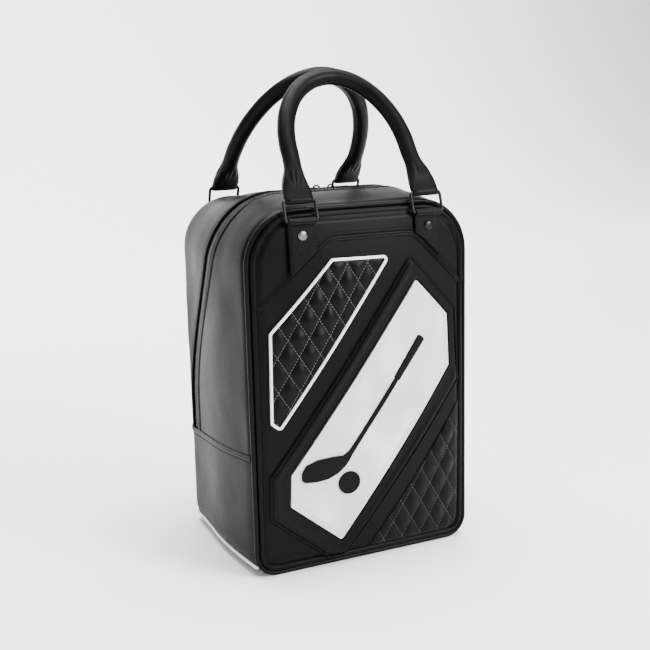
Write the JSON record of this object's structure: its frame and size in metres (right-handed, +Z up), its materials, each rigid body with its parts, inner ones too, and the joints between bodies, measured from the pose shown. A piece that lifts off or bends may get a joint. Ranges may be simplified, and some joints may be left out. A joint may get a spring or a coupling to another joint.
{
  "type": "golf shoe bag",
  "caption": "Boxy upright golf shoe bag with a padded, quilted front, a sloping zip over the top, a rear flap that folds open and a pair of rolled handles on wire rings.",
  "frame": {"origin": "centre of the footprint of the whole bag, on the surface that it stands on", "axes": "+Z up, the decorated front faces -Y, +X to the right seen from the front"},
  "size_m": [0.2508, 0.2164, 0.4808],
  "materials": {
    "black_leather": "smooth black synthetic leather, fine grain, satin",
    "quilted_leather": "smooth black synthetic leather, quilted in diamonds with pale grey thread",
    "white_leather": "smooth white synthetic leather, finely perforated at its lower end",
    "white_piping": "white synthetic leather piping, satin",
    "black_rubber": "moulded black rubber, satin",
    "lining": "black woven polyester lining",
    "foam": "closed cell foam",
    "board": "stiff plastic board",
    "zip_tape": "black woven zip tape",
    "zip_teeth": "black moulded zip teeth",
    "gunmetal": "black gunmetal plating, glossy",
    "silver": "bright nickel plating"
  },
  "bodies": {
    "root": {"front_skin": "black_leather", "front_foam": "foam", "front_board": "board", "front_lining": "lining", "yoke_panel": "black_leather", "yoke_ridge": "black_leather", "plate_frame": "black_leather", "emblem_plate": "white_leather", "club_motif": "black_rubber", "ball_motif": "black_rubber", "upper_quilt": "quilted_leather", "upper_quilt_piping": "white_piping", "lower_quilt": "quilted_leather", "front_piping": "black_leather", "gusset_front": "black_leather", "gusset_lining_front": "lining", "zip_tape_front": "zip_tape", "zip_teeth_front": "zip_teeth", "zip_stop_left": "gunmetal", "zip_stop_right": "gunmetal", "base_wrap": "black_leather", "wrap_lining": "lining", "base_wrap_ridge": "black_leather", "base_piping": "white_piping", "base_panel": "black_leather", "base_board": "board", "base_lining": "lining", "front_tab_left": "black_leather", "front_tab_right": "black_leather", "front_rivet_left": "silver", "front_rivet_right": "gunmetal"},
    "flap": {"back_panel": "black_leather", "back_board": "board", "back_lining": "lining", "gusset_rear": "black_leather", "gusset_lining_rear": "lining", "zip_tape_rear": "zip_tape", "zip_teeth_rear": "zip_teeth", "back_tab_left": "black_leather", "back_tab_right": "black_leather", "back_rivet_left": "gunmetal", "back_rivet_right": "gunmetal"},
    "slider_left": {"slider_left": "gunmetal"},
    "slider_right": {"slider_right": "gunmetal"},
    "puller_left": {"puller_left": "gunmetal"},
    "puller_right": {"puller_right": "gunmetal"},
    "front_rings": {"front_ring_left": "gunmetal", "front_ring_right": "gunmetal"},
    "back_rings": {"back_ring_left": "gunmetal", "back_ring_right": "gunmetal"},
    "front_handle": {"front_handle": "black_leather"},
    "back_handle": {"back_handle": "black_leather"}
  },
  "joints": [
    {"name": "flap_open", "type": "hinge", "parent": "root", "child": "flap", "pos_m": [0, 0.0989, 0.108], "axis": [-1, 0, 0], "range_deg": [0, 70]},
    {"name": "left_slider_travel", "type": "slide", "parent": "flap", "child": "slider_left", "axis": [-1, 0, 0], "range_m": [0, 0.036]},
    {"name": "right_slider_travel", "type": "slide", "parent": "flap", "child": "slider_right", "axis": [1, 0, 0], "range_m": [0, 0.036]},
    {"name": "left_puller_swing", "type": "hinge", "parent": "slider_left", "child": "puller_left", "pos_m": [-0.008, -0.0161, 0.36275], "axis": [0, 1, 0], "range_deg": [0, 100]},
    {"name": "right_puller_swing", "type": "hinge", "parent": "slider_right", "child": "puller_right", "pos_m": [0.008, -0.0161, 0.36275], "axis": [0, -1, 0], "range_deg": [0, 100]},
    {"name": "front_rings_swing", "type": "hinge", "parent": "root", "child": "front_rings", "pos_m": [0, -0.1009, 0.341], "axis": [1, 0, 0], "range_deg": [0, 100]},
    {"name": "front_handle_swing", "type": "hinge", "parent": "front_rings", "child": "front_handle", "pos_m": [0, -0.0951, 0.3595], "axis": [1, 0, 0], "range_deg": [0, 75]},
    {"name": "back_rings_swing", "type": "hinge", "parent": "flap", "child": "back_rings", "pos_m": [0, 0.1045, 0.341], "axis": [-1, 0, 0], "range_deg": [0, 100]},
    {"name": "back_handle_swing", "type": "hinge", "parent": "back_rings", "child": "back_handle", "pos_m": [0, 0.0987, 0.3595], "axis": [-1, 0, 0], "range_deg": [0, 75]}
  ]
}
